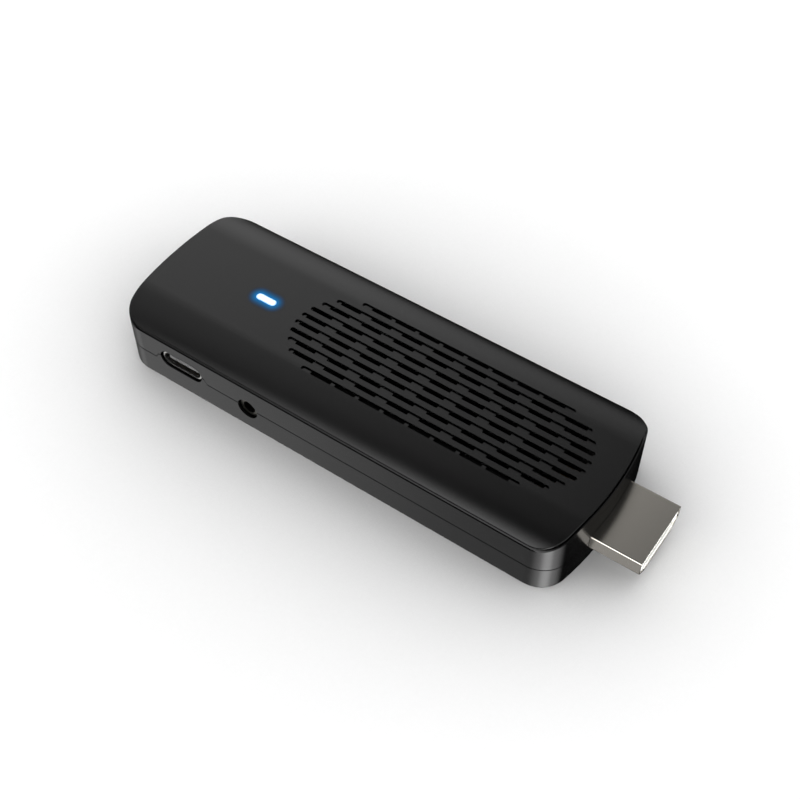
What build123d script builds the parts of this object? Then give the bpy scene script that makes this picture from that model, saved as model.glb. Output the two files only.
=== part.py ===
from build123d import *
from math import atan2, cos, degrees, radians, sin, sqrt, tan
import os

# Streaming stick, millimetres. +X runs towards the video plug, the ports are on the -Y side,
# +Z is up, and the origin is the middle of the resting face.

# Body outline seen from above: straight sides, bowed ends, round corners
body_length = 94.0
body_width = 33.75
body_height = 13.2
port_end_bow = 79.0
plug_end_bow = 58.5
port_end_corner = 5.4
plug_end_corner = 5.45
foot_round = 0.15

# Crown of the top cover: flat in the middle, one wide round shoulder along each side
shoulder_radius = 14.0
shoulder_width = 7.98
cover_inset = 0.29
cover_plug_end_inset = 0.05

# Housing walls and how the three mouldings meet
wall = 1.5
floor = 1.4
cover_thickness = 1.2
cover_lip = 0.2
cover_edge_break = 0.08
deck_thickness = 1.0
rim_width = 1.3
shadow_groove_height = 0.38
shadow_groove_skin = 0.2
shadow_groove_width = 0.65
parting_height = 5.1
parting_reveal = 0.22
tongue_height = 1.2
moulding_gap = 0.1
cover_pin_diameter = 1.6
cover_pin_length = 1.8
cover_pins_by_port = (9.0, 5.6)
cover_pins_by_plug = (4.6, 7.6)

# Vent grille: long shallow grooves inside a pill outline, each with a fine slit along its far
# side and a row of through slots
grille_from_plug_end = 5.535
grille_from_light = 7.365
row_pitch = 2.015
outer_row_margin = 0.15
groove_width = 0.96
groove_sink = 0.35
groove_slit_width = 0.2
groove_slit_depth = 0.4
slot_length = 4.3
slot_width = 0.78
slot_rows = ((9, 0.785), (9, 0.285), (8, 1.645), (8, 0.88), (8, 1.975))
window_margin = 0.9

# Status light
light_from_port_end = 22.17
light_length = 4.2
light_width = 1.4
light_fit = 0.06
light_flange = 0.7
light_gap = 0.3

# Main board, clamped to bosses on the lower housing
board_thickness = 1.0
board_underside = 3.65
board_clearance = 0.3
screw_by_port = (6.8, 8.8)
screw_by_jack = (4.3, 4.8)
screws_by_plug = (2.1, 5.2)
boss_diameter = 4.4
screw_diameter = 1.7
screw_clearance = 0.05
screw_length = 3.0
screw_head_diameter = 3.4
screw_head_height = 1.1
screw_socket = 1.2
rib_thickness = 1.0
rib_end_gap = 3.0
rib_by_port = 7.0
rib_by_jack = 15.8
rib_by_plug = 15.0
saddle_from_plug_end = 4.2
saddle_length = 4.5
saddle_width = 8.4

# Video plug: a D-shaped steel shell around an insulator with two rows of contacts
plug_width = 13.9
plug_height = 4.45
plug_side = 2.9
plug_slant = 2.15
plug_round = 0.35
plug_inner_round = 0.1
plug_metal = 0.3
plug_reach = 8.83
plug_length = 18.0
plug_fit = 0.15
plug_insert_set_back = 0.1
plug_nose_length = 2.0
plug_nose_gap = 0.18
plug_nose_width = 12.5
plug_insert_fit = 0.03
plug_slot_width = 11.2
plug_slot_height = 1.9
plug_slot_depth = 6.0
plug_contact_pitch = 1.0
plug_contact_width = 0.4
plug_contact_thickness = 0.2
plug_upper_contacts = 10
plug_lower_contacts = 9
plug_tail = 2.0
plug_contact_set_back = 1.1
plug_ear_length = 5.0
plug_ear_width = 1.8

# Power port: 24-contact reversible socket on the near side
port_from_port_end = 15.35
port_width = 8.94
port_height = 3.16
port_metal = 0.28
port_depth = 7.35
port_recess = 0.4
port_opening_margin = 0.35
port_back = 2.0
port_tongue_width = 6.7
port_tongue_thickness = 0.7
port_tongue_set_back = 0.45
port_contacts = 12
port_contact_pitch = 0.5
port_contact_width = 0.2
port_contact_thickness = 0.08
port_contact_length = 3.6
port_contact_tail = 0.6
port_leg_width = 1.0
port_leg_length = 0.8
port_leg_fit = 0.1
port_leg_pitch = 3.8
parting_step_height = 1.1
parting_step_slant = 0.7
parting_step_margin = 0.53

# Round jack for the remote-sensor lead, sunk in the board, with a switch behind its bore
jack_from_port_end = 30.5
jack_height_above_board = 0.2
jack_opening = 4.3
jack_ferrule_diameter = 4.1
jack_bore = 2.6
jack_recess = 0.55
jack_ferrule_length = 1.4
jack_sleeve = 3.5
jack_sleeve_length = 1.5
jack_body_width = 6.0
jack_body_height = 4.8
jack_body_length = 9.0
jack_wing_width = 1.2
jack_wing_length = 2.6
jack_wing_thickness = 0.8
jack_board_gap = 0.2
jack_contact_width = 1.0
jack_contact_thickness = 0.2
jack_contact_pitch = 2.4
jack_contacts_from_back = 2.6
jack_contact_reach = 4.4
jack_contact_clear = 0.2

# Recovery switch: a side-push snap switch whose plunger is reached through the jack
switch_width = 5.0
switch_height = 3.6
switch_length = 3.4
switch_front = 0.6
switch_gap = 0.5
switch_cavity = 1.3
switch_cavity_diameter = 3.2
switch_wing_width = 1.0
switch_travel = 0.25
plunger_diameter = 2.0
plunger_proud = 0.4
plunger_fit = 0.06
plunger_flange = 2.8
plunger_flange_thickness = 0.5
plunger_nub = 1.2
dome_thickness = 0.15
dome_diameter = 2.9
dome_slack = 0.05

# Chips and cooling
chip_size = 14.0
chip_height = 1.2
pad_thickness = 0.5
can_from_jack = 3.55
can_from_plug = 4.75
can_width = 24.0
can_metal = 0.2
sink_pad_length = 26.0
sink_pad_width = 18.0
sink_pad_thickness = 0.3
sink_inset = 0.3
sink_base = 0.9
sink_headroom = 0.8
sink_fin_thickness = 0.8
sink_fin_count = 9
memory_length = 11.0
memory_width = 7.5
memory_height = 1.0
memory_spread = 11.6
flash_length = 11.5
flash_width = 13.0
flash_height = 1.0
radio_length = 13.0
radio_width = 12.0
radio_board = 0.8
radio_can_height = 1.6
radio_can_metal = 0.2
radio_from_port_end = 12.5
radio_from_far_side = 11.8
power_chip_from_far_side = 11.8
power_chip_from_light = 3.2
power_chip_size = 4.0
power_chip_height = 0.9
inductor_size = 4.2
inductor_height = 2.0
inductor_edge = 0.5
inductor_gap = 0.15
inductor_step = (5.4, 3.8)
capacitor_length = 1.6
capacitor_width = 0.9
capacitor_height = 0.9
capacitor_pitch = 2.6
capacitors_by_light = 1.2
capacitors_by_plug = 3.35
crystal_from_can = 4.15
crystal_room_share = 0.6611
crystal_length = 3.2
crystal_width = 2.5
crystal_height = 0.8
light_chip_length = 1.6
light_chip_width = 0.9
light_chip_height = 0.6
antenna_length = 22.0
antenna_headroom = 2.35
antenna_thickness = 0.25
antenna_from_port_end = 22.5
antenna_from_far_side = 2.05
antenna_foot = 1.5

# Places worked out from the sizes above
half_length = body_length / 2
half_width = body_width / 2
cover_half_width = half_width - cover_inset
crown_flat = cover_half_width - shoulder_width
crown_angle = degrees(atan2(shoulder_width, sqrt(shoulder_radius**2 - shoulder_width**2)))
crown_drop = shoulder_radius * (1 - cos(radians(crown_angle)))
board_top = board_underside + board_thickness
plug_axis_height = board_underside + board_thickness / 2
plug_tip = half_length + plug_reach
plug_back = plug_tip - plug_length
port_x = -half_length + port_from_port_end
port_axis_height = board_top + port_height / 2
port_face = -half_width + port_recess
port_back_face = port_face + port_depth
port_legs_y = port_back_face - port_leg_width - port_leg_pitch / 2
jack_x = -half_length + jack_from_port_end
jack_axis_height = board_top + jack_height_above_board
jack_face = -half_width + jack_recess
jack_body_face = jack_face + jack_ferrule_length
jack_back = jack_body_face + jack_body_length
switch_face = jack_back + switch_gap
switch_back = switch_face + switch_length
light_x = -half_length + light_from_port_end
grille_end_radius = (len(slot_rows) - 0.5) * row_pitch + outer_row_margin
grille_start = light_x + grille_from_light
grille_end = half_length - grille_from_plug_end
grille_x = (grille_start + grille_end) / 2
grille_straight = (grille_end - grille_start) / 2 - grille_end_radius
deck_top = body_height - cover_thickness
deck_underside = deck_top - deck_thickness
chip_top = board_top + chip_height
can_top = chip_top + pad_thickness + can_metal
sink_underside = can_top + sink_pad_thickness
radio_x = -half_length + radio_from_port_end
can_start = jack_x + jack_body_width / 2 + can_from_jack
can_end = plug_back - can_from_plug
can_length = can_end - can_start
can_x = (can_start + can_end) / 2
sink_length = can_length - 2 * sink_inset
sink_width = can_width - 2 * sink_inset
sink_fin_height = deck_underside - sink_headroom - sink_underside - sink_base
antenna_face = half_width - antenna_from_far_side
antenna_height = deck_underside - antenna_headroom - board_top
board_hole_places = (
    (-half_length + screw_by_port[0], -half_width + screw_by_port[1]),
    (jack_x + screw_by_jack[0], half_width - screw_by_jack[1]),
    (plug_back - screws_by_plug[0], half_width - screws_by_plug[1]),
    (plug_back - screws_by_plug[0], -half_width + screws_by_plug[1]),
)
cover_pin_places = (
    (-half_length + cover_pins_by_port[0], half_width - cover_pins_by_port[1]),
    (-half_length + cover_pins_by_port[0], -half_width + cover_pins_by_port[1]),
    (half_length - cover_pins_by_plug[0], half_width - cover_pins_by_plug[1]),
    (half_length - cover_pins_by_plug[0], -half_width + cover_pins_by_plug[1]),
)
rib_places = (
    (port_x + rib_by_port, 0),
    (jack_x + rib_by_jack, 0),
    (plug_back - rib_by_plug, 0),
)


def arc_run(centre, radius, start, turn, pieces):
    """One arc drawn as equal pieces, so that its facets stay fine."""
    for piece in range(pieces):
        CenterArc(centre, radius, start + piece * turn / pieces, turn / pieces)


def end_arcs(reach, half, bow, corner, side):
    """Corner, bowed end and corner of one end of the outline, all tangent."""
    corner_y = half - corner
    bow_x = reach - bow
    corner_x = bow_x + sqrt((bow - corner) ** 2 - corner_y**2)
    turn = degrees(atan2(corner_y, corner_x - bow_x))
    if side > 0:
        arc_run((corner_x, corner_y), corner, turn, 90 - turn, 4)
        arc_run((bow_x, 0), bow, -turn, 2 * turn, 8)
        arc_run((corner_x, -corner_y), corner, -90, 90 - turn, 4)
    else:
        arc_run((-corner_x, corner_y), corner, 90, 90 - turn, 4)
        arc_run((-bow_x, 0), bow, 180 - turn, 2 * turn, 8)
        arc_run((-corner_x, -corner_y), corner, 180 + turn, 90 - turn, 4)
    return corner_x


def outline(inset=0.0, plug_end_inset=0.0):
    """The body outline seen from above, set in from the side walls and further at the plug."""
    half = half_width - inset
    reach = half_length - inset
    with BuildSketch() as section:
        with BuildLine():
            right_reach = reach - plug_end_inset
            right = end_arcs(right_reach, half, plug_end_bow - inset, plug_end_corner - inset, 1)
            left = end_arcs(reach, half, port_end_bow - inset, port_end_corner - inset, -1)
            Line((-left, half), (right, half))
            Line((-left, -half), (right, -half))
        make_face()
    return section.sketch_local


def crown(drop=0.0):
    """The cross-section of the body below its crown, lowered by drop."""
    top = body_height - drop
    edge = top - crown_drop
    arc_height = top - shoulder_radius
    with BuildSketch() as section:
        with BuildLine():
            arc_run((crown_flat, arc_height), shoulder_radius, 90 - crown_angle, crown_angle, 3)
            arc_run((-crown_flat, arc_height), shoulder_radius, 90, crown_angle, 3)
            Line((-crown_flat, top), (crown_flat, top))
            Polyline(
                (cover_half_width, edge),
                (half_width, edge),
                (half_width, 0),
                (-half_width, 0),
                (-half_width, edge),
                (-cover_half_width, edge),
            )
        make_face()
    return section.sketch_local


def plug_face(grow, corner):
    """D-shaped section of the plug about its axis, grown all round."""
    half = plug_width / 2
    top = plug_height / 2
    step = top - plug_side
    slope = atan2(step + top, plug_slant)
    side_foot = step - grow * tan((radians(90) - slope) / 2)
    base = half - plug_slant + grow * tan(slope / 2)
    with BuildSketch() as section:
        with BuildLine():
            Polyline(
                (-half - grow, top + grow),
                (half + grow, top + grow),
                (half + grow, side_foot),
                (base, -top - grow),
                (-base, -top - grow),
                (-half - grow, side_foot),
                close=True,
            )
        make_face()
        fillet(section.vertices(), radius=corner)
    return section.sketch_local


def outer_crown_edges(solid):
    """Edges of a lid where the crown meets the outline."""
    lower_faces = solid.faces().filter_by(lambda face: face.normal_at().Z < -0.3)
    side_faces = solid.faces().filter_by(lambda face: abs(face.normal_at().Z) < 0.01)
    return (side_faces.edges() - lower_faces.edges()).filter_by(lambda edge: abs(edge.tangent_at(0.5).Z) < 0.9)


os.makedirs("parts", exist_ok=True)

# Top cover: a crowned plate whose thin lip stands over the shadow groove
with BuildPart() as cover_lip_ring:
    with BuildSketch(Plane.YZ):
        add(crown())
        add(crown(cover_lip), mode=Mode.SUBTRACT)
    extrude(amount=body_length, both=True)
    with BuildSketch():
        add(outline(cover_inset, cover_plug_end_inset))
    extrude(amount=body_height, mode=Mode.INTERSECT)
    chamfer(outer_crown_edges(cover_lip_ring), length=cover_edge_break)

with BuildPart() as top_cover:
    with BuildSketch(Plane.YZ):
        add(crown())
        add(crown(cover_thickness), mode=Mode.SUBTRACT)
    extrude(amount=body_length, both=True)
    with BuildSketch():
        add(outline(rim_width + moulding_gap))
    extrude(amount=body_height, mode=Mode.INTERSECT)
    add(cover_lip_ring.part)
    with BuildSketch(Plane.XY.offset(deck_top)):
        with Locations(*cover_pin_places):
            Circle(cover_pin_diameter / 2)
    extrude(amount=-cover_pin_length)
    for number, (count, end_margin) in enumerate(slot_rows):
        row_offset = (number + 0.5) * row_pitch
        reach = grille_straight + sqrt(grille_end_radius**2 - row_offset**2)
        spread = 2 * (reach - end_margin) - slot_length
        pitch = spread / (count - 1)
        for row_y in (row_offset, -row_offset):
            with BuildSketch(Plane.XY.offset(body_height - groove_sink)):
                with Locations((grille_x, row_y)):
                    SlotOverall(2 * reach, groove_width)
            extrude(amount=groove_sink, mode=Mode.SUBTRACT)
            with BuildSketch(Plane.XY.offset(body_height - groove_sink)):
                with Locations((grille_x, row_y)):
                    SlotOverall(2 * reach, groove_width)
                with Locations((grille_x + groove_slit_width, row_y - groove_slit_width)):
                    SlotOverall(2 * reach, groove_width, mode=Mode.SUBTRACT)
            extrude(amount=-groove_slit_depth, mode=Mode.SUBTRACT)
            with BuildSketch(Plane.XY.offset(deck_top)):
                with Locations((grille_x, row_y + (groove_width - slot_width) / 2)):
                    with GridLocations(pitch, 1, count, 1):
                        Rectangle(slot_length, slot_width)
            extrude(amount=cover_thickness, mode=Mode.SUBTRACT)
    with BuildSketch(Plane.XY.offset(deck_top)):
        with Locations((light_x, 0)):
            SlotOverall(light_length + 2 * light_fit, light_width + 2 * light_fit)
    extrude(amount=cover_thickness, mode=Mode.SUBTRACT)
top_cover.part.label = "top_cover"
export_step(top_cover.part, "parts/top_cover.step")

# Openings that the two housing halves share: plug, power port and jack
with BuildPart() as wall_openings:
    with BuildSketch(Plane.YZ.offset(half_length - 2 * wall)):
        with Locations((0, plug_axis_height)):
            add(plug_face(plug_fit, plug_round + plug_fit))
    extrude(amount=4 * wall)
    with BuildSketch(Plane.XZ.offset(half_width - 2 * wall)):
        with Locations((port_x, port_axis_height)):
            SlotOverall(port_width + 2 * port_opening_margin, port_height + 2 * port_opening_margin)
        with Locations((jack_x, jack_axis_height)):
            Circle(jack_opening / 2)
    extrude(amount=4 * wall)

# The parting line steps up round the power port
with BuildPart() as parting_step:
    with BuildSketch(Plane.XZ.offset(half_width - wall)):
        with BuildLine():
            step_half = port_width / 2 + port_opening_margin + parting_step_margin
            step_top = parting_height + parting_step_height
            Polyline(
                (port_x - step_half - parting_step_slant, parting_height),
                (port_x - step_half, step_top),
                (port_x + step_half, step_top),
                (port_x + step_half + parting_step_slant, parting_height),
                (port_x + step_half, parting_height - 1),
                (port_x - step_half, parting_height - 1),
                close=True,
            )
        make_face()
    extrude(amount=wall)

# Upper housing: side walls, a thin skin, the shadow groove and the land under the cover lip,
# and a vented deck
with BuildPart() as upper_housing:
    with BuildSketch(Plane.YZ):
        add(crown(cover_thickness))
    extrude(amount=body_length, both=True)
    with BuildSketch():
        add(outline())
    extrude(amount=body_height, mode=Mode.INTERSECT)
    skin_top = cover_lip + shadow_groove_height
    land = shadow_groove_skin + shadow_groove_width
    for drop, outer, inner in ((skin_top, 0, shadow_groove_skin), (cover_lip, land, rim_width)):
        with BuildPart(mode=Mode.PRIVATE) as rim:
            with BuildSketch(Plane.YZ):
                add(crown(drop))
            extrude(amount=body_length, both=True)
            with BuildSketch():
                add(outline(outer))
                add(outline(inner), mode=Mode.SUBTRACT)
            extrude(amount=body_height, mode=Mode.INTERSECT)
        add(rim.part)
    with BuildPart(mode=Mode.PRIVATE) as cavity:
        with BuildSketch(Plane.YZ):
            add(crown(cover_thickness + deck_thickness))
        extrude(amount=body_length, both=True)
        with BuildSketch():
            add(outline(wall))
        extrude(amount=body_height, mode=Mode.INTERSECT)
    add(cavity.part, mode=Mode.SUBTRACT)
    with BuildSketch():
        add(outline())
    extrude(amount=parting_height + parting_reveal, mode=Mode.SUBTRACT)
    with BuildSketch():
        add(outline(wall / 2))
    extrude(amount=parting_height + tongue_height, mode=Mode.SUBTRACT)
    with Locations((0, 0, parting_reveal)):
        add(parting_step.part, mode=Mode.SUBTRACT)
    with BuildSketch(Plane.XY.offset(deck_underside - 1)):
        with Locations((grille_x, 0)):
            window = 2 * (grille_end_radius + window_margin)
            SlotOverall(2 * grille_straight + window, window)
        with Locations((light_x, 0)):
            SlotOverall(light_length + 2 * light_fit, light_width + 2 * light_fit)
        with Locations(*cover_pin_places):
            Circle(cover_pin_diameter / 2 + light_fit)
    extrude(amount=deck_thickness + 2, mode=Mode.SUBTRACT)
    add(wall_openings.part, mode=Mode.SUBTRACT)
upper_housing.part.label = "upper_housing"
export_step(upper_housing.part, "parts/upper_housing.step")

# Lower housing: tray with a locating tongue, screw bosses, board ribs and a saddle for the plug
with BuildPart() as lower_housing:
    with BuildSketch():
        add(outline())
    extrude(amount=parting_height)
    fillet(lower_housing.faces().sort_by(Axis.Z)[0].edges(), radius=foot_round)
    with BuildSketch(Plane.XY.offset(floor)):
        add(outline(wall / 2 + moulding_gap))
    extrude(amount=parting_height + tongue_height - floor)
    add(parting_step.part)
    with BuildSketch(Plane.XY.offset(floor)):
        add(outline(wall))
    extrude(amount=body_height, mode=Mode.SUBTRACT)
    with BuildSketch(Plane.XY.offset(floor)):
        with Locations(*board_hole_places):
            Circle(boss_diameter / 2)
        with Locations(*rib_places):
            Rectangle(rib_thickness, body_width - 2 * wall - 2 * rib_end_gap)
    extrude(amount=board_underside - floor)
    with BuildSketch(Plane.XY.offset(floor)):
        with Locations((half_length - saddle_from_plug_end, 0)):
            Rectangle(saddle_length, saddle_width)
    extrude(amount=plug_axis_height - plug_height / 2 - floor)
    with BuildSketch(Plane.XY.offset(board_underside)):
        with Locations(*board_hole_places):
            Circle(screw_diameter / 2 + screw_clearance)
    extrude(amount=-(screw_length - board_thickness + 0.2), mode=Mode.SUBTRACT)
    add(wall_openings.part, mode=Mode.SUBTRACT)
lower_housing.part.label = "lower_housing"
export_step(lower_housing.part, "parts/lower_housing.step")

# Light pipe: stem from the light-emitting chip to the cover, with a flange under the deck
with BuildPart() as light_pipe:
    stem_foot = board_top + light_chip_height + light_gap
    with BuildSketch(Plane.XY.offset(stem_foot)):
        with Locations((light_x, 0)):
            SlotOverall(light_length, light_width)
    extrude(amount=body_height - stem_foot)
    with BuildSketch(Plane.XY.offset(deck_underside)):
        with Locations((light_x, 0)):
            SlotOverall(light_length + 2 * light_flange, light_width + 2 * light_flange)
    extrude(amount=-light_flange)
light_pipe.part.label = "light_pipe"
export_step(light_pipe.part, "parts/light_pipe.step")

# Main board with notches for the straddling plug and for the sunk jack and switch
with BuildPart() as main_board:
    with BuildSketch(Plane.XY.offset(board_underside)):
        add(outline(wall + board_clearance))
        with Locations((plug_back, 0)):
            Rectangle(
                plug_length,
                plug_width + 2 * jack_board_gap,
                align=(Align.MIN, Align.CENTER),
                mode=Mode.SUBTRACT,
            )
        with Locations((jack_x, -half_width)):
            Rectangle(
                jack_body_width + 2 * jack_board_gap,
                switch_back + jack_board_gap + half_width,
                align=(Align.CENTER, Align.MIN),
                mode=Mode.SUBTRACT,
            )
        with Locations(*board_hole_places):
            Circle(screw_diameter / 2 + screw_clearance, mode=Mode.SUBTRACT)
        with Locations((port_x, port_legs_y)):
            with GridLocations(port_width - port_metal, port_leg_pitch, 2, 2):
                Rectangle(port_metal + 2 * port_leg_fit, port_leg_width + 2 * port_leg_fit, mode=Mode.SUBTRACT)
    extrude(amount=board_thickness)
main_board.part.label = "main_board"
export_step(main_board.part, "parts/main_board.step")

with BuildPart() as board_screws:
    with BuildSketch(Plane.XY.offset(board_top)):
        with Locations(*board_hole_places):
            Circle(screw_head_diameter / 2)
    extrude(amount=screw_head_height)
    chamfer(board_screws.faces().sort_by(Axis.Z)[-4:].edges(), length=0.2)
    with BuildSketch(Plane.XY.offset(board_top)):
        with Locations(*board_hole_places):
            Circle(screw_diameter / 2)
    extrude(amount=-screw_length)
    with BuildSketch(Plane.XY.offset(board_top + screw_head_height)):
        with Locations(*board_hole_places):
            Rectangle(1.5 * screw_socket, screw_socket / 3)
            Rectangle(screw_socket / 3, 1.5 * screw_socket)
    extrude(amount=-screw_head_height / 2, mode=Mode.SUBTRACT)
board_screws.part.label = "board_screws"
export_step(board_screws.part, "parts/board_screws.step")

# Video plug: folded steel shell with two soldered ears
with BuildPart() as hdmi_shell:
    with BuildSketch(Plane.YZ.offset(plug_back)):
        with Locations((0, plug_axis_height)):
            add(plug_face(0, plug_round))
            add(plug_face(-plug_metal, plug_inner_round), mode=Mode.SUBTRACT)
    extrude(amount=plug_length)
    ear_middle = (plug_width + plug_ear_width - plug_metal) / 2
    with BuildSketch(Plane.XY.offset(board_top)):
        with Locations((plug_back + plug_ear_length / 2, 0)):
            with GridLocations(1, 2 * ear_middle, 1, 2):
                Rectangle(plug_ear_length, plug_ear_width + plug_metal)
    extrude(amount=plug_metal)
hdmi_shell.part.label = "hdmi_shell"
export_step(hdmi_shell.part, "parts/hdmi_shell.step")

# Contacts of the plug: two rows whose tails straddle the edge of the board
with BuildPart() as hdmi_contact:
    contact_height = plug_slot_height / 2
    tail_height = board_thickness / 2 + plug_contact_thickness / 2
    with BuildSketch(Plane.XZ):
        with BuildLine():
            Polyline(
                (plug_tip - plug_insert_set_back - plug_contact_set_back, contact_height),
                (plug_back - 0.3, contact_height),
                (plug_back - 0.7, tail_height),
                (plug_back - plug_tail, tail_height),
            )
        trace(line_width=plug_contact_thickness)
    extrude(amount=plug_contact_width / 2, both=True)

with BuildPart() as hdmi_contacts:
    with Locations((0, 0, plug_axis_height)):
        with GridLocations(1, plug_contact_pitch, 1, plug_upper_contacts):
            add(hdmi_contact.part)
        with GridLocations(1, plug_contact_pitch, 1, plug_lower_contacts):
            add(mirror(hdmi_contact.part, about=Plane.XY, mode=Mode.PRIVATE))
hdmi_contacts.part.label = "hdmi_contacts"
export_step(hdmi_contacts.part, "parts/hdmi_contacts.step")

with BuildPart() as hdmi_insulator:
    with BuildSketch(Plane.YZ.offset(plug_back)):
        with Locations((0, plug_axis_height)):
            add(plug_face(-plug_metal - plug_insert_fit, plug_inner_round))
    extrude(amount=plug_length - plug_insert_set_back - plug_nose_length)
    with BuildSketch(Plane.YZ.offset(plug_tip - plug_insert_set_back)):
        with Locations((0, plug_axis_height)):
            add(plug_face(-plug_metal - plug_nose_gap, plug_inner_round))
            Rectangle(plug_nose_width, plug_height, mode=Mode.INTERSECT)
    extrude(amount=-plug_nose_length)
    with BuildSketch(Plane.YZ.offset(plug_tip - plug_insert_set_back)):
        with Locations((0, plug_axis_height)):
            Rectangle(plug_slot_width, plug_slot_height)
    extrude(amount=-plug_slot_depth, mode=Mode.SUBTRACT)
    add(hdmi_contacts.part, mode=Mode.SUBTRACT)
hdmi_insulator.part.label = "hdmi_insulator"
export_step(hdmi_insulator.part, "parts/hdmi_insulator.step")

# Power port: drawn steel shell with four legs through the board
with BuildPart() as usb_c_shell:
    with BuildSketch(Plane.XZ.offset(-port_face)):
        with Locations((port_x, port_axis_height)):
            SlotOverall(port_width, port_height)
            SlotOverall(port_width - 2 * port_metal, port_height - 2 * port_metal, mode=Mode.SUBTRACT)
    extrude(amount=-port_depth)
    with BuildSketch(Plane.XY.offset(board_top - port_leg_length)):
        with Locations((port_x, port_legs_y)):
            with GridLocations(port_width - port_metal, port_leg_pitch, 2, 2):
                Rectangle(port_metal, port_leg_width)
    extrude(amount=port_leg_length + port_height / 2)
usb_c_shell.part.label = "usb_c_shell"
export_step(usb_c_shell.part, "parts/usb_c_shell.step")

# Contacts of the power port: strips on both faces of the tongue, with tails down to the board
with BuildPart() as usb_c_contacts:
    strip_height = (port_tongue_thickness - port_contact_thickness) / 2
    strip_front = port_face + port_tongue_set_back + 0.3
    foot_height = board_top - port_axis_height + port_contact_thickness / 2
    for side, shift, drop_at in ((1, 0, 0.6), (-1, port_contact_pitch / 2, 0.3)):
        with BuildPart(mode=Mode.PRIVATE) as strip:
            with BuildSketch(Plane.YZ):
                with BuildLine():
                    Polyline(
                        (strip_front, side * strip_height),
                        (port_back_face + drop_at, side * strip_height),
                        (port_back_face + drop_at, foot_height),
                        (port_back_face + drop_at + port_contact_tail, foot_height),
                    )
                trace(line_width=port_contact_thickness)
            extrude(amount=port_contact_width / 2, both=True)
        with Locations((port_x + shift, 0, port_axis_height)):
            with GridLocations(port_contact_pitch, 1, port_contacts, 1):
                add(strip.part)
usb_c_contacts.part.label = "usb_c_contacts"
export_step(usb_c_contacts.part, "parts/usb_c_contacts.step")

with BuildPart() as usb_c_body:
    with BuildSketch(Plane.XZ.offset(-port_back_face)):
        with Locations((port_x, port_axis_height)):
            inner = 2 * (port_metal + plug_insert_fit)
            SlotOverall(port_width - inner, port_height - inner)
    extrude(amount=port_back)
    with BuildSketch(Plane.XZ.offset(-port_back_face)):
        with Locations((port_x, port_axis_height)):
            Rectangle(port_tongue_width, port_tongue_thickness)
    extrude(amount=port_depth - port_tongue_set_back)
    add(usb_c_contacts.part, mode=Mode.SUBTRACT)
usb_c_body.part.label = "usb_c_body"
export_step(usb_c_body.part, "parts/usb_c_body.step")

# Jack: steel ferrule in the wall, moulded body sunk in the board, four side contacts
with BuildPart() as jack_ferrule:
    with BuildSketch(Plane.XZ.offset(-jack_face)):
        with Locations((jack_x, jack_axis_height)):
            Circle(jack_ferrule_diameter / 2)
    extrude(amount=-jack_ferrule_length)
    chamfer(jack_ferrule.faces().sort_by(Axis.Y)[0].edges(), length=0.1)
    with BuildSketch(Plane.XZ.offset(-jack_body_face)):
        with Locations((jack_x, jack_axis_height)):
            Circle(jack_sleeve / 2)
    extrude(amount=-jack_sleeve_length)
    with BuildSketch(Plane.XZ.offset(-jack_face)):
        with Locations((jack_x, jack_axis_height)):
            Circle(jack_bore / 2)
    extrude(amount=-jack_body_length, mode=Mode.SUBTRACT)
jack_ferrule.part.label = "jack_ferrule"
export_step(jack_ferrule.part, "parts/jack_ferrule.step")

with BuildPart() as jack_contacts:
    inner_reach = jack_bore / 2 + jack_contact_clear
    strip_length = jack_contact_reach - inner_reach
    with BuildSketch(Plane.XY.offset(board_top)):
        for side in (1, -1):
            with Locations((jack_x + side * (inner_reach + strip_length / 2), jack_back - jack_contacts_from_back)):
                with GridLocations(1, jack_contact_pitch, 1, 2):
                    Rectangle(strip_length, jack_contact_width)
    extrude(amount=jack_contact_thickness)
jack_contacts.part.label = "jack_contacts"
export_step(jack_contacts.part, "parts/jack_contacts.step")

with BuildPart() as jack_body:
    with BuildSketch(Plane.XZ.offset(-jack_body_face)):
        with Locations((jack_x, jack_axis_height)):
            Rectangle(jack_body_width, jack_body_height)
    extrude(amount=-jack_body_length)
    fillet(jack_body.edges().filter_by(Axis.Y), radius=0.3)
    with BuildSketch(Plane.XY.offset(board_top)):
        with Locations((jack_x, jack_body_face + 0.6)):
            Rectangle(
                jack_body_width + 2 * jack_wing_width,
                jack_wing_length,
                align=(Align.CENTER, Align.MIN),
            )
    extrude(amount=jack_wing_thickness)
    with BuildSketch(Plane.XZ.offset(-jack_body_face)):
        with Locations((jack_x, jack_axis_height)):
            Circle(jack_bore / 2)
    extrude(amount=-jack_body_length, mode=Mode.SUBTRACT)
    with BuildSketch(Plane.XZ.offset(-jack_body_face)):
        with Locations((jack_x, jack_axis_height)):
            Circle(jack_sleeve / 2)
    extrude(amount=-jack_sleeve_length, mode=Mode.SUBTRACT)
    add(jack_contacts.part, mode=Mode.SUBTRACT)
jack_body.part.label = "jack_body"
export_step(jack_body.part, "parts/jack_body.step")

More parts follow.
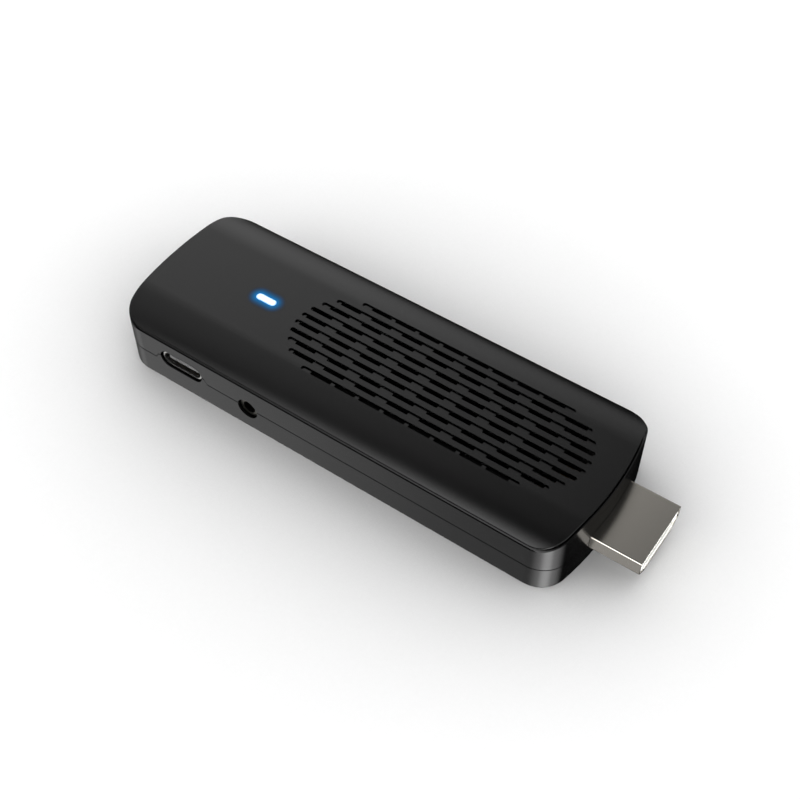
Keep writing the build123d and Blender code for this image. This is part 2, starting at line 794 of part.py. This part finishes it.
# Recovery switch in line with the jack bore
with BuildPart() as switch_base:
    with BuildSketch(Plane.XZ.offset(-switch_face)):
        with Locations((jack_x, jack_axis_height)):
            Rectangle(switch_width, switch_height)
    extrude(amount=-switch_length)
    fillet(switch_base.edges().filter_by(Axis.Y), radius=0.3)
    with BuildSketch(Plane.XY.offset(board_top)):
        with Locations((jack_x, switch_back)):
            Rectangle(
                jack_body_width + 2 * jack_board_gap + 2 * switch_wing_width,
                switch_length / 2,
                align=(Align.CENTER, Align.MAX),
            )
    extrude(amount=jack_wing_thickness)
    with BuildSketch(Plane.XZ.offset(-switch_face)):
        with Locations((jack_x, jack_axis_height)):
            Circle(plunger_diameter / 2 + plunger_fit)
    extrude(amount=-switch_front, mode=Mode.SUBTRACT)
    with BuildSketch(Plane.XZ.offset(-switch_face - switch_front)):
        with Locations((jack_x, jack_axis_height)):
            Circle(switch_cavity_diameter / 2)
    extrude(amount=-switch_cavity, mode=Mode.SUBTRACT)
switch_base.part.label = "switch_base"
export_step(switch_base.part, "parts/switch_base.step")

with BuildPart() as switch_plunger:
    flange_face = switch_face + switch_front
    with BuildSketch(Plane.XZ.offset(-(switch_face - plunger_proud))):
        with Locations((jack_x, jack_axis_height)):
            Circle(plunger_diameter / 2)
    extrude(amount=-(switch_front + plunger_proud))
    chamfer(switch_plunger.faces().sort_by(Axis.Y)[0].edges(), length=0.15)
    with BuildSketch(Plane.XZ.offset(-flange_face)):
        with Locations((jack_x, jack_axis_height)):
            Circle(plunger_flange / 2)
    extrude(amount=-plunger_flange_thickness)
    with BuildSketch(Plane.XZ.offset(-flange_face)):
        with Locations((jack_x, jack_axis_height)):
            Circle(plunger_nub / 2)
    extrude(amount=-(switch_cavity - dome_thickness - dome_slack - switch_travel))
switch_plunger.part.label = "switch_plunger"
export_step(switch_plunger.part, "parts/switch_plunger.step")

with BuildPart() as switch_dome:
    with BuildSketch(Plane.XZ.offset(-(switch_face + switch_front + switch_cavity))):
        with Locations((jack_x, jack_axis_height)):
            Circle(dome_diameter / 2)
    extrude(amount=dome_thickness)
switch_dome.part.label = "switch_dome"
export_step(switch_dome.part, "parts/switch_dome.step")


def block(name, base, height, size, places, edge=0.0):
    """Equal rectangular pieces standing at the given places."""
    with BuildPart() as pieces:
        with BuildSketch(Plane.XY.offset(base)):
            with Locations(*places):
                Rectangle(*size)
        extrude(amount=height)
        if edge > 0:
            fillet(pieces.edges().filter_by(Axis.Z), radius=edge)
    pieces.part.label = name
    export_step(pieces.part, f"parts/{name}.step")


# Chips under the shield can, side by side with equal gaps
chip_gap = (can_length - 2 * can_metal - memory_width - chip_size - flash_length) / 4
memory_x = can_start + can_metal + chip_gap + memory_width / 2
chip_x = memory_x + memory_width / 2 + chip_gap + chip_size / 2
flash_x = chip_x + chip_size / 2 + chip_gap + flash_length / 2
memory_places = [(memory_x, memory_spread / 2), (memory_x, -memory_spread / 2)]
block("processor", board_top, chip_height, (chip_size, chip_size), [(chip_x, 0)])
block("processor_pad", chip_top, pad_thickness, (chip_size, chip_size), [(chip_x, 0)])
block("memory_chips", board_top, memory_height, (memory_width, memory_length), memory_places)
block("flash_chip", board_top, flash_height, (flash_length, flash_width), [(flash_x, 0)])

# Power, timing, light and radio parts outside the can
power_chip_place = (light_x + power_chip_from_light, half_width - power_chip_from_far_side)
inductor_place = (
    light_x + power_chip_from_light,
    antenna_face - antenna_foot - inductor_gap - inductor_size / 2,
)
inductor_places = [
    inductor_place,
    (inductor_place[0] + inductor_step[0], inductor_place[1] - inductor_step[1]),
]
capacitor_places = [
    (light_x - capacitors_by_light, power_chip_place[1] + capacitor_pitch),
    (light_x - capacitors_by_light, power_chip_place[1]),
    (light_x - capacitors_by_light, power_chip_place[1] - capacitor_pitch),
    (plug_back - capacitors_by_plug, capacitor_pitch),
    (plug_back - capacitors_by_plug, 0),
    (plug_back - capacitors_by_plug, -capacitor_pitch),
]
radio_place = (radio_x, half_width - radio_from_far_side)
block("power_chip", board_top, power_chip_height, (power_chip_size, power_chip_size), [power_chip_place])
block("inductors", board_top, inductor_height, (inductor_size, inductor_size), inductor_places, inductor_edge)
crystal_room_start = switch_back + jack_board_gap
crystal_room = inductor_places[1][1] - inductor_size / 2 - crystal_room_start - crystal_width
crystal_place = (
    can_start - crystal_from_can,
    crystal_room_start + crystal_room_share * crystal_room + crystal_width / 2,
)
block("crystal", board_top, crystal_height, (crystal_length, crystal_width), [crystal_place], 0.3)
block("capacitors", board_top, capacitor_height, (capacitor_width, capacitor_length), capacitor_places)
block("status_led", board_top, light_chip_height, (light_chip_length, light_chip_width), [(light_x, 0)])
block("radio_board", board_top, radio_board, (radio_length, radio_width), [radio_place])


def can(name, base, height, size, place, metal):
    """Drawn lid without a floor, standing on its rim."""
    with BuildPart() as lid:
        with BuildSketch(Plane.XY.offset(base)):
            with Locations(place):
                RectangleRounded(*size, radius=3 * metal)
        extrude(amount=height)
        offset(amount=-metal, openings=lid.faces().sort_by(Axis.Z)[0], kind=Kind.INTERSECTION)
    lid.part.label = name
    export_step(lid.part, f"parts/{name}.step")


radio_can_size = (radio_length - 1, radio_width - 1)
can("radio_can", board_top + radio_board, radio_can_height, radio_can_size, radio_place, radio_can_metal)
can("shield_can", board_top, can_top - board_top, (can_length, can_width), (can_x, 0), can_metal)
block("heatsink_pad", can_top, sink_pad_thickness, (sink_pad_length, sink_pad_width), [(can_x, 0)])

# Finned heatsink under the vent
with BuildPart() as heatsink:
    with BuildSketch(Plane.XY.offset(sink_underside)):
        with Locations((can_x, 0)):
            Rectangle(sink_length, sink_width)
    extrude(amount=sink_base)
    fin_pitch = (sink_width - sink_fin_thickness) / (sink_fin_count - 1)
    with BuildSketch(Plane.XY.offset(sink_underside + sink_base)):
        with Locations((can_x, 0)):
            with GridLocations(1, fin_pitch, 1, sink_fin_count):
                Rectangle(sink_length, sink_fin_thickness)
    extrude(amount=sink_fin_height)
heatsink.part.label = "heatsink"
export_step(heatsink.part, "parts/heatsink.step")

# Stamped antenna standing along the far side of the board
with BuildPart() as antenna:
    antenna_place = (-half_length + antenna_from_port_end, antenna_face)
    with BuildSketch(Plane.XY.offset(board_top)):
        with Locations(antenna_place):
            Rectangle(antenna_length, antenna_foot, align=(Align.CENTER, Align.MAX))
    extrude(amount=antenna_thickness)
    with BuildSketch(Plane.XY.offset(board_top)):
        with Locations(antenna_place):
            Rectangle(antenna_length, antenna_thickness, align=(Align.CENTER, Align.MAX))
    extrude(amount=antenna_height)
    with BuildSketch(Plane.XZ.offset(-antenna_face)):
        with Locations((antenna_place[0], board_top + antenna_height)):
            with GridLocations(antenna_length / 4, 1, 3, 1):
                Rectangle(1.0, 1.2 * antenna_height)
    extrude(amount=antenna_thickness, mode=Mode.SUBTRACT)
antenna.part.label = "antenna"
export_step(antenna.part, "parts/antenna.step")
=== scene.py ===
import bpy
from bpy.props import FloatProperty, FloatVectorProperty, PointerProperty, StringProperty
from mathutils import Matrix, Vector


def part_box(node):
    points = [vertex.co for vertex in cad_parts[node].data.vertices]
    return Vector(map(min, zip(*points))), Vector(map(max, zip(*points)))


bl_info = {
    "name": "Streaming stick",
    "version": (1, 0, 0),
    "blender": (4, 5, 0),
    "location": "View3D > Sidebar > Stick",
    "description": "Finishes of a small black streaming stick around its packed model, and its studio",
    "category": "Object",
}

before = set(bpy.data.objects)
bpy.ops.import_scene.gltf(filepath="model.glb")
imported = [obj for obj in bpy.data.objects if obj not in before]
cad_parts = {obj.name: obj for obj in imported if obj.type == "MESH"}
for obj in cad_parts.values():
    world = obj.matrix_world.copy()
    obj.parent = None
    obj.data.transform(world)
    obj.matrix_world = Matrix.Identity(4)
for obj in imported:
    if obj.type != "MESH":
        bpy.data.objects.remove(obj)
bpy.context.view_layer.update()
MM = 0.001

LIGHT_LOW, LIGHT_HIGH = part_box("light_pipe")


def linear(hex_colour):
    """An sRGB hex colour as linear red, green, blue and alpha."""
    channels = [int(hex_colour[place : place + 2], 16) / 255 for place in (1, 3, 5)]
    return tuple(c / 12.92 if c <= 0.04045 else ((c + 0.055) / 1.055) ** 2.4 for c in channels) + (1.0,)


def hex_property(name, default, description):
    """A colour that is typed as sRGB hex."""
    return StringProperty(name=name, default=default, description=description)


class StickFinishes(bpy.types.PropertyGroup):
    """Colours and surface sizes that a user would change."""

    cover_colour: hex_property("Cover", "#070707", "Colour of the moulded top cover")
    housing_colour: hex_property("Housing", "#020202", "Colour of the two housing halves")
    plug_colour: hex_property("Plug", "#D6D1C8", "Colour of the plated plug shell")
    light_colour: hex_property("Status light", "#00A4FF", "Colour of the status light")
    grain: FloatProperty(
        name="Mould grain",
        description="Width of one bump of the mould's fine texture",
        default=0.25 * MM,
        min=0.05 * MM,
        max=2 * MM,
        unit="LENGTH",
        precision=5,
    )


class StickStudio(bpy.types.PropertyGroup):
    """Camera and floor."""

    camera_place: FloatVectorProperty(
        name="Camera",
        description="Where the camera stands",
        default=(0.085155, -0.116405, 0.177886),
        subtype="XYZ",
        unit="LENGTH",
    )
    camera_target: FloatVectorProperty(
        name="Target",
        description="The point in the middle of the picture",
        default=(0.004453, 0.0, 0.005),
        subtype="XYZ",
        unit="LENGTH",
    )
    lens: FloatProperty(
        name="Lens", description="Focal length in millimetres", default=56.89, min=20, max=200
    )
    floor_size: FloatProperty(
        name="Floor", description="Width of the floor", default=6.0, min=0.5, max=20, unit="LENGTH"
    )


# Materials

# Width of a patch of uneven sheen, the share by which the roughness strays from its mean,
# and how many widths long a drawing streak is
SHEEN_PATCH = 9 * MM
PLASTIC_UNEVENNESS = 0.07
METAL_UNEVENNESS = 0.05
GRAIN_STRENGTH = 0.15
STREAK_STRENGTH = 0.1
STREAK_LENGTH = 40
NOISE_LOW = 0.3
NOISE_HIGH = 0.7


def new_material(name):
    """A material with an empty node tree."""
    material = bpy.data.materials.new(name)
    material.use_nodes = True
    tree = material.node_tree
    tree.nodes.clear()
    return material, tree


def add(tree, kind, inputs=None, **settings):
    """Adds a node, sets its properties, and sets or links each named or numbered input."""
    node = tree.nodes.new(kind)
    for key, value in settings.items():
        setattr(node, key, value)
    for key, value in (inputs or {}).items():
        if isinstance(value, bpy.types.NodeSocket):
            tree.links.new(value, node.inputs[key])
        else:
            node.inputs[key].default_value = value
    return node


def finish_material(tree, shader):
    """Sends the shader to the material's output."""
    add(tree, "ShaderNodeOutputMaterial", {"Surface": shader.outputs[0]})


def moulded_plastic(name, colour, roughness, grain, depth):
    """Injection-moulded ABS: dark through and through, with the mould's fine grain."""
    material, tree = new_material(name)
    place = add(tree, "ShaderNodeTexCoord").outputs["Object"]
    grains = add(tree, "ShaderNodeTexNoise", {"Vector": place, "Scale": 1 / grain, "Detail": 2.0})
    patches = add(tree, "ShaderNodeTexNoise", {"Vector": place, "Scale": 1 / SHEEN_PATCH, "Detail": 3.0})
    sheen = add(
        tree,
        "ShaderNodeMapRange",
        {
            "Value": patches.outputs["Fac"],
            "From Min": NOISE_LOW,
            "From Max": NOISE_HIGH,
            "To Min": roughness * (1 - PLASTIC_UNEVENNESS),
            "To Max": roughness * (1 + PLASTIC_UNEVENNESS),
        },
    )
    bump = add(
        tree,
        "ShaderNodeBump",
        {"Height": grains.outputs["Fac"], "Strength": GRAIN_STRENGTH, "Distance": depth},
    )
    shader = add(
        tree,
        "ShaderNodeBsdfPrincipled",
        {
            "Base Color": linear(colour),
            "Roughness": sheen.outputs[0],
            "IOR": 1.5,
            "Normal": bump.outputs[0],
        },
    )
    return material, tree, shader


def plain_solid(name, colour, roughness, grain):
    """A small moulded or sintered piece: even colour with a fine matt grain."""
    material, tree, shader = moulded_plastic(name, colour, roughness, grain, 0.002 * MM)
    finish_material(tree, shader)
    return material


def plated_metal(name, colour, roughness, streak, depth):
    """Stamped and plated sheet: long faint drawing streaks along the strip."""
    material, tree = new_material(name)
    place = add(tree, "ShaderNodeTexCoord").outputs["Object"]
    scale = (1 / (STREAK_LENGTH * streak), 1 / streak, 1 / streak)
    stretched = add(tree, "ShaderNodeMapping", {"Vector": place, "Scale": scale})
    streaks = add(tree, "ShaderNodeTexNoise", {"Vector": stretched.outputs[0], "Scale": 1.0, "Detail": 3.0})
    sheen = add(
        tree,
        "ShaderNodeMapRange",
        {
            "Value": streaks.outputs["Fac"],
            "From Min": NOISE_LOW,
            "From Max": NOISE_HIGH,
            "To Min": roughness * (1 - METAL_UNEVENNESS),
            "To Max": roughness * (1 + METAL_UNEVENNESS),
        },
    )
    bump = add(
        tree,
        "ShaderNodeBump",
        {"Height": streaks.outputs["Fac"], "Strength": STREAK_STRENGTH, "Distance": depth},
    )
    shader = add(
        tree,
        "ShaderNodeBsdfPrincipled",
        {
            "Base Color": linear(colour),
            "Metallic": 1.0,
            "Roughness": sheen.outputs[0],
            "Normal": bump.outputs[0],
        },
    )
    finish_material(tree, shader)
    return material


# The status light: length of its window's spine, distances from that spine between which its white turns to
# the rim's colour and the painted blue glow on the cover round it fades, and how bright each is
WINDOW_SPINE = 2.8 * MM
CORE_EDGE = 0.3 * MM
RIM_EDGE = 0.5 * MM
PAINTED_GLOW_START = 0.7 * MM
PAINTED_GLOW_REACH = 2.6 * MM
WINDOW_STRENGTH = 1.3
RIM_SHARE = 0.33
PAINTED_GLOW_SHARE = 0.8
PAINTED_GLOW_STRENGTH = 0.62


def window_distance(tree):
    """Distance in metres from the spine of the light's pill-shaped window, seen from above."""
    centre = (LIGHT_LOW + LIGHT_HIGH) / 2
    place = add(tree, "ShaderNodeTexCoord").outputs["Object"]
    local = add(
        tree, "ShaderNodeVectorMath", {0: place, 1: (centre.x, centre.y, 0.0)}, operation="SUBTRACT"
    )
    parts = add(tree, "ShaderNodeSeparateXYZ", {0: local.outputs[0]})
    along = add(tree, "ShaderNodeMath", {0: parts.outputs["X"]}, operation="ABSOLUTE")
    past = add(tree, "ShaderNodeMath", {0: along.outputs[0], 1: WINDOW_SPINE / 2}, operation="SUBTRACT")
    beyond = add(tree, "ShaderNodeMath", {0: past.outputs[0], 1: 0.0}, operation="MAXIMUM")
    flat = add(tree, "ShaderNodeCombineXYZ", {"X": beyond.outputs[0], "Y": parts.outputs["Y"]})
    return add(tree, "ShaderNodeVectorMath", {0: flat.outputs[0]}, operation="LENGTH").outputs["Value"]


def cover_material(finishes):
    """Moulded ABS cover, with a painted blue glow round its window that fades outwards and takes the place
    of most of its gloss there.
    """
    material, tree, shader = moulded_plastic(
        "ABS moulded satin cover", finishes.cover_colour, 0.18, finishes.grain, 0.004 * MM
    )
    # Painted glow: the status light's blue glow is painted onto the cover round its window as emission
    # mixed in over the gloss
    reach = window_distance(tree)
    fall = add(
        tree,
        "ShaderNodeMapRange",
        {"Value": reach, "From Min": PAINTED_GLOW_START, "From Max": PAINTED_GLOW_REACH, "To Min": 1.0, "To Max": 0.0},
    )
    share = add(tree, "ShaderNodeMath", {0: fall.outputs[0], 1: PAINTED_GLOW_SHARE}, operation="MULTIPLY")
    strength = add(tree, "ShaderNodeMath", {0: fall.outputs[0], 1: PAINTED_GLOW_STRENGTH}, operation="MULTIPLY")
    glow = add(
        tree,
        "ShaderNodeEmission",
        {"Color": linear(finishes.light_colour), "Strength": strength.outputs[0]},
    )
    cover_and_painted_glow = add(
        tree, "ShaderNodeMixShader", {0: share.outputs[0], 1: shader.outputs[0], 2: glow.outputs[0]}
    )
    finish_material(tree, cover_and_painted_glow)
    return material


def light_material(finishes):
    """Frosted light pipe lit from below: white in the middle, saturated at the rim."""
    material, tree = new_material("Frosted polycarbonate light window")
    reach = window_distance(tree)
    rim = add(
        tree,
        "ShaderNodeMapRange",
        {"Value": reach, "From Min": CORE_EDGE, "From Max": RIM_EDGE},
        interpolation_type="SMOOTHSTEP",
    )
    ramp = add(tree, "ShaderNodeMix", {"Factor": rim.outputs[0]}, data_type="RGBA")
    ramp.inputs["A"].default_value = linear("#FFFFFF")
    ramp.inputs["B"].default_value = [RIM_SHARE * part for part in linear(finishes.light_colour)]
    shader = add(
        tree,
        "ShaderNodeBsdfPrincipled",
        {
            "Base Color": linear("#CFE3F7"),
            "Roughness": 0.35,
            "IOR": 1.58,
            "Emission Color": ramp.outputs["Result"],
            "Emission Strength": WINDOW_STRENGTH,
        },
    )
    finish_material(tree, shader)
    return material


def give(material, *nodes):
    """Makes the material the only one of each named piece."""
    for name in nodes:
        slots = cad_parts[name].data.materials
        slots.clear()
        slots.append(material)


class STICK_OT_housing(bpy.types.Operator):
    """Finishes the moulded housing and its vented cover"""

    bl_idname = "stick.housing"
    bl_label = "Housing"

    def execute(self, context):
        finishes = context.scene.stick_finishes
        give(cover_material(finishes), "top_cover")
        housing, tree, shader = moulded_plastic(
            "ABS moulded housing", finishes.housing_colour, 0.2, finishes.grain, 0.002 * MM
        )
        finish_material(tree, shader)
        give(housing, "upper_housing", "lower_housing")
        give(light_material(finishes), "light_pipe")
        return {"FINISHED"}


class STICK_OT_plug(bpy.types.Operator):
    """Finishes the video plug"""

    bl_idname = "stick.plug"
    bl_label = "Video plug"

    def execute(self, context):
        finishes = context.scene.stick_finishes
        give(
            plated_metal("Nickel-plated stamped steel", finishes.plug_colour, 0.2, 0.3 * MM, 0.0002 * MM),
            "hdmi_shell",
        )
        give(plain_solid("LCP natural", "#FCFBF6", 0.5, 0.2 * MM), "hdmi_insulator")
        give(plated_metal("Gold-flashed contacts", "#7A5F2C", 0.3, 0.05 * MM, 0.0), "hdmi_contacts")
        return {"FINISHED"}


class STICK_OT_ports(bpy.types.Operator):
    """Finishes the power port, the jack and the recovery switch"""

    bl_idname = "stick.ports"
    bl_label = "Ports and switch"

    def execute(self, context):
        give(plated_metal("Stainless drawn shell", "#D8D7D4", 0.25, 0.05 * MM, 0.0), "usb_c_shell")
        give(plain_solid("LCP dark grey", "#505050", 0.35, 0.2 * MM), "usb_c_body")
        give(plated_metal("Nickel-plated brass ferrule", "#5E5C57", 0.3, 0.05 * MM, 0.0), "jack_ferrule")
        give(plain_solid("PBT black", "#0C0C0C", 0.4, 0.2 * MM), "jack_body", "switch_base")
        give(plain_solid("POM plunger", "#141414", 0.3, 0.2 * MM), "switch_plunger")
        give(
            plated_metal("Gold flash on bronze", "#6E5C3A", 0.3, 0.05 * MM, 0.0),
            "usb_c_contacts",
            "jack_contacts",
        )
        give(plated_metal("Stainless snap dome", "#A9A8A5", 0.3, 0.1 * MM, 0.0), "switch_dome")
        return {"FINISHED"}


# Pieces inside the housing: material, colour, roughness, grain in millimetres and nodes
SOLIDS = (
    ("Solder mask on glass laminate", "#0B1F14", 0.35, 0.4, ("main_board", "radio_board")),
    ("Epoxy moulded chip", "#101011", 0.5, 0.15, ("processor", "memory_chips", "flash_chip", "power_chip")),
    ("Silicone thermal pad", "#3C4650", 0.7, 0.3, ("processor_pad", "heatsink_pad")),
    ("Sintered ferrite", "#1B1B1B", 0.6, 0.1, ("inductors",)),
    ("Sintered ceramic", "#4A3A28", 0.5, 0.1, ("capacitors",)),
    ("Clear epoxy", "#D8D6C8", 0.2, 0.1, ("status_led",)),
)
METALS = (
    ("Zinc-plated screw steel", "#8C8B88", 0.3, 0.1, ("board_screws",)),
    ("Tinned can steel", "#A3A29F", 0.35, 0.4, ("radio_can", "shield_can", "crystal")),
    ("Black anodised aluminium", "#121212", 0.45, 0.3, ("heatsink",)),
    ("Rolled antenna brass", "#A9853F", 0.35, 0.3, ("antenna",)),
)


class STICK_OT_inside(bpy.types.Operator):
    """Finishes the board, the chips and the cooling inside"""

    bl_idname = "stick.inside"
    bl_label = "Inside"

    def execute(self, context):
        for name, colour, roughness, grain, nodes in SOLIDS:
            give(plain_solid(name, colour, roughness, grain * MM), *nodes)
        for name, colour, roughness, streak, nodes in METALS:
            give(plated_metal(name, colour, roughness, streak * MM, 0.0), *nodes)
        return {"FINISHED"}


# Studio

# Each soft light of the room: the direction it lies in, the cosines where it starts and is full,
# and how bright it is. They are seen only in reflections; the dome does the lighting.
HIGH_LIGHTS = (
    ((-0.5, 0.76, 0.42), 0.77, 1.29, 2.0),
    ((-0.1, -0.8, 0.59), 0.81, 1.3, 11.0),
    ((-0.77, 0.19, 0.6), 0.6, 1.05, 0.6),
    ((0.85, -0.35, 0.4), 0.5, 1.0, 0.8),
    ((0.5, 0.5, 0.7), 0.85, 1.0, 0.22),
)
LOW_LIGHTS = (
    ((0.0, -1.0, 0.0), -0.1, 0.4, 0.34),
    ((-1.0, 0.0, 0.0), 0.4, 0.8, 0.25),
    ((-0.6, -0.4, -0.75), 0.93, 1.0, 0.35),
    ((0.42, -0.29, -0.85), 0.85, 1.02, 1.4),
    ((0.43, -0.34, -0.83), 0.973, 1.005, 2.0),
    ((0.7, 0.7, 0.0), 0.5, 1.0, 0.5),
)
# Between these heights reflections pass from the low lights to the high ones
HORIZON = (-0.17, -0.1)
# Brightness of the dome at its foot, the power by which it falls to nothing overhead, and the share
# that its back (+Y) has over its middle; its front (-Y) has as much less
DOME_AT_HORIZON = 9.25
DOME_FALLOFF = 2.7
BACK_SHARE = -0.15
# Brightness of the room between the high lights
ROOM_DIM = 0.015
# The room reads depth 2 on a ray reflected once, and shows later ones only this share of its lights
FIRST_DEPTH = 2.0
SECOND_REFLECTION = 0.45


def room(world):
    """A white dome, brightest at its foot, for wide soft shadows. Only reflections see the soft boxes."""
    world.use_nodes = True
    tree = world.node_tree
    tree.nodes.clear()
    direction = add(tree, "ShaderNodeTexCoord").outputs["Generated"]
    axes = add(tree, "ShaderNodeSeparateXYZ", {0: direction})
    height = axes.outputs["Z"]

    def lights(boxes, start):
        total = start
        for facing, begins, full, strength in boxes:
            towards = add(
                tree,
                "ShaderNodeVectorMath",
                {0: direction, 1: Vector(facing).normalized()},
                operation="DOT_PRODUCT",
            )
            soft = add(
                tree,
                "ShaderNodeMapRange",
                {
                    "Value": towards.outputs["Value"],
                    "From Min": begins,
                    "From Max": full,
                    "To Max": strength,
                },
                interpolation_type="SMOOTHSTEP",
            )
            total = add(tree, "ShaderNodeMath", {0: soft.outputs[0], 1: total}, operation="ADD").outputs[0]
        return total

    above = lights(HIGH_LIGHTS, ROOM_DIM)
    below = lights(LOW_LIGHTS, 0.0)
    is_above = add(
        tree,
        "ShaderNodeMapRange",
        {"Value": height, "From Min": HORIZON[0], "From Max": HORIZON[1]},
        interpolation_type="SMOOTHSTEP",
    )
    reflected = add(tree, "ShaderNodeMix", {0: is_above.outputs[0], 2: below, 3: above}, data_type="FLOAT")
    fall = add(
        tree,
        "ShaderNodeMapRange",
        {"Value": height, "From Min": 0.0, "From Max": 1.0, "To Min": 1.0, "To Max": 0.0},
    )
    curved = add(tree, "ShaderNodeMath", {0: fall.outputs[0], 1: DOME_FALLOFF}, operation="POWER")
    dome = add(tree, "ShaderNodeMath", {0: curved.outputs[0], 1: DOME_AT_HORIZON}, operation="MULTIPLY")
    sideways = add(
        tree, "ShaderNodeMath", {0: axes.outputs["Y"], 1: BACK_SHARE, 2: 1.0}, operation="MULTIPLY_ADD"
    )
    uneven = add(tree, "ShaderNodeMath", {0: dome.outputs[0], 1: sideways.outputs[0]}, operation="MULTIPLY")
    rays = add(tree, "ShaderNodeLightPath")
    depth = add(
        tree,
        "ShaderNodeMapRange",
        {
            "Value": rays.outputs["Ray Depth"],
            "From Min": FIRST_DEPTH,
            "From Max": FIRST_DEPTH + 1,
            "To Min": 1.0,
            "To Max": SECOND_REFLECTION,
        },
    )
    mirrored = add(
        tree, "ShaderNodeMath", {0: reflected.outputs[0], 1: depth.outputs[0]}, operation="MULTIPLY"
    )
    seen = add(
        tree,
        "ShaderNodeMix",
        {0: rays.outputs["Is Glossy Ray"], 2: uneven.outputs[0], 3: mirrored.outputs[0]},
        data_type="FLOAT",
    )
    glow = add(tree, "ShaderNodeBackground", {"Color": (1, 1, 1, 1), "Strength": seen.outputs[0]})
    add(tree, "ShaderNodeOutputWorld", {"Surface": glow.outputs[0]})
    world.cycles.sampling_method = "NONE"


# The paper: width of a fibre, its darkest and lightest tone, how far off the stick casts painted shade on
# it, and the share of its tone that is left at its most shut-in spots and at its open ones
PAPER_FIBRE = 0.8 * MM
PAPER_TONES = (0.93, 0.95)
PAINTED_SHADE_REACH = 70 * MM
PAINTED_SHADE_OPENNESS = (0.4, 1.0)
PAINTED_SHADE_TONES = (0.55, 1.02)
LAMP_PLACE = (0.15, 0.35, 0.7)
LAMP_WIDTH = 0.5
LAMP_WATTS = 0.6


def paper_material():
    """White paper with faint fibres, and painted shade that darkens its colour where the stick shuts out
    the room.
    """
    material, tree = new_material("Matt white paper sweep")
    place = add(tree, "ShaderNodeTexCoord").outputs["Object"]
    fibres = add(tree, "ShaderNodeTexNoise", {"Vector": place, "Scale": 1 / PAPER_FIBRE, "Detail": 3.0})
    tone = add(
        tree,
        "ShaderNodeMapRange",
        {"Value": fibres.outputs["Fac"], "To Min": PAPER_TONES[0], "To Max": PAPER_TONES[1]},
    )
    # Painted shade: the paper's colour is darkened where ambient occlusion finds the stick close by
    contact = add(tree, "ShaderNodeAmbientOcclusion", {"Distance": PAINTED_SHADE_REACH}, samples=8)
    painted_shade = add(
        tree,
        "ShaderNodeMapRange",
        {
            "Value": contact.outputs["AO"],
            "From Min": PAINTED_SHADE_OPENNESS[0],
            "From Max": PAINTED_SHADE_OPENNESS[1],
            "To Min": PAINTED_SHADE_TONES[0],
            "To Max": PAINTED_SHADE_TONES[1],
        },
    )
    paper = add(tree, "ShaderNodeMath", {0: tone.outputs[0], 1: painted_shade.outputs[0]}, operation="MULTIPLY")
    shader = add(
        tree,
        "ShaderNodeBsdfPrincipled",
        {"Base Color": paper.outputs[0], "Roughness": 0.95, "Specular IOR Level": 0.0},
    )
    finish_material(tree, shader)
    return material


def paper_floor(width):
    """The flat sheet that the stick lies on. Reflections don't see it."""
    half = width / 2
    mesh = bpy.data.meshes.new("floor")
    corners = [(-half, -half, 0), (half, -half, 0), (half, half, 0), (-half, half, 0)]
    mesh.from_pydata(corners, [], [(0, 1, 2, 3)])
    mesh.materials.append(paper_material())
    floor = bpy.data.objects.new("floor", mesh)
    floor.visible_glossy = False
    return floor


def top_softbox():
    """A weak round soft box above and behind, kept out of reflections."""
    lamp = bpy.data.lights.new("top_softbox", "AREA")
    lamp.shape = "DISK"
    lamp.size = LAMP_WIDTH
    lamp.energy = LAMP_WATTS
    box = bpy.data.objects.new("top_softbox", lamp)
    box.location = LAMP_PLACE
    box.rotation_euler = (-box.location).to_track_quat("-Z", "Y").to_euler()
    box.visible_glossy = False
    box.visible_camera = False
    return box


def view_camera(studio):
    """The camera of the photograph's view."""
    camera = bpy.data.cameras.new("camera")
    camera.lens = studio.lens
    camera.sensor_width = 36
    camera.clip_start = 0.01
    view = bpy.data.objects.new("camera", camera)
    view.location = studio.camera_place
    line = Vector(studio.camera_target) - view.location
    view.rotation_euler = line.to_track_quat("-Z", "Y").to_euler()
    return view


class STICK_OT_studio(bpy.types.Operator):
    """Builds the floor, the light and the camera"""

    bl_idname = "stick.studio"
    bl_label = "Studio"

    def execute(self, context):
        studio = context.scene.stick_studio
        scene = context.scene
        scene.view_settings.view_transform = "Standard"

        floor = paper_floor(studio.floor_size)
        scene.collection.objects.link(floor)

        world = bpy.data.worlds.new("Studio")
        scene.world = world
        room(world)
        scene.collection.objects.link(top_softbox())

        view = view_camera(studio)
        scene.collection.objects.link(view)
        scene.camera = view
        return {"FINISHED"}


class STICK_PT_panel(bpy.types.Panel):
    """Lists the steps that dress the stick."""

    bl_label = "Streaming stick"
    bl_idname = "STICK_PT_panel"
    bl_space_type = "VIEW_3D"
    bl_region_type = "UI"
    bl_category = "Stick"

    def draw(self, context):
        layout = self.layout
        for group in (context.scene.stick_finishes, context.scene.stick_studio):
            for key in group.__annotations__:
                layout.prop(group, key)
        for step in STEPS:
            layout.operator(step.bl_idname)


STEPS = (STICK_OT_housing, STICK_OT_plug, STICK_OT_ports, STICK_OT_inside, STICK_OT_studio)
CLASSES = (StickFinishes, StickStudio) + STEPS + (STICK_PT_panel,)


def register():
    for cls in CLASSES:
        bpy.utils.register_class(cls)
    bpy.types.Scene.stick_finishes = PointerProperty(type=StickFinishes)
    bpy.types.Scene.stick_studio = PointerProperty(type=StickStudio)


def unregister():
    del bpy.types.Scene.stick_studio
    del bpy.types.Scene.stick_finishes
    for cls in reversed(CLASSES):
        bpy.utils.unregister_class(cls)


def main():
    """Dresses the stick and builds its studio."""
    register()
    bpy.ops.stick.housing()
    bpy.ops.stick.plug()
    bpy.ops.stick.ports()
    bpy.ops.stick.inside()
    bpy.ops.stick.studio()


if __name__ == "__main__":
    main()
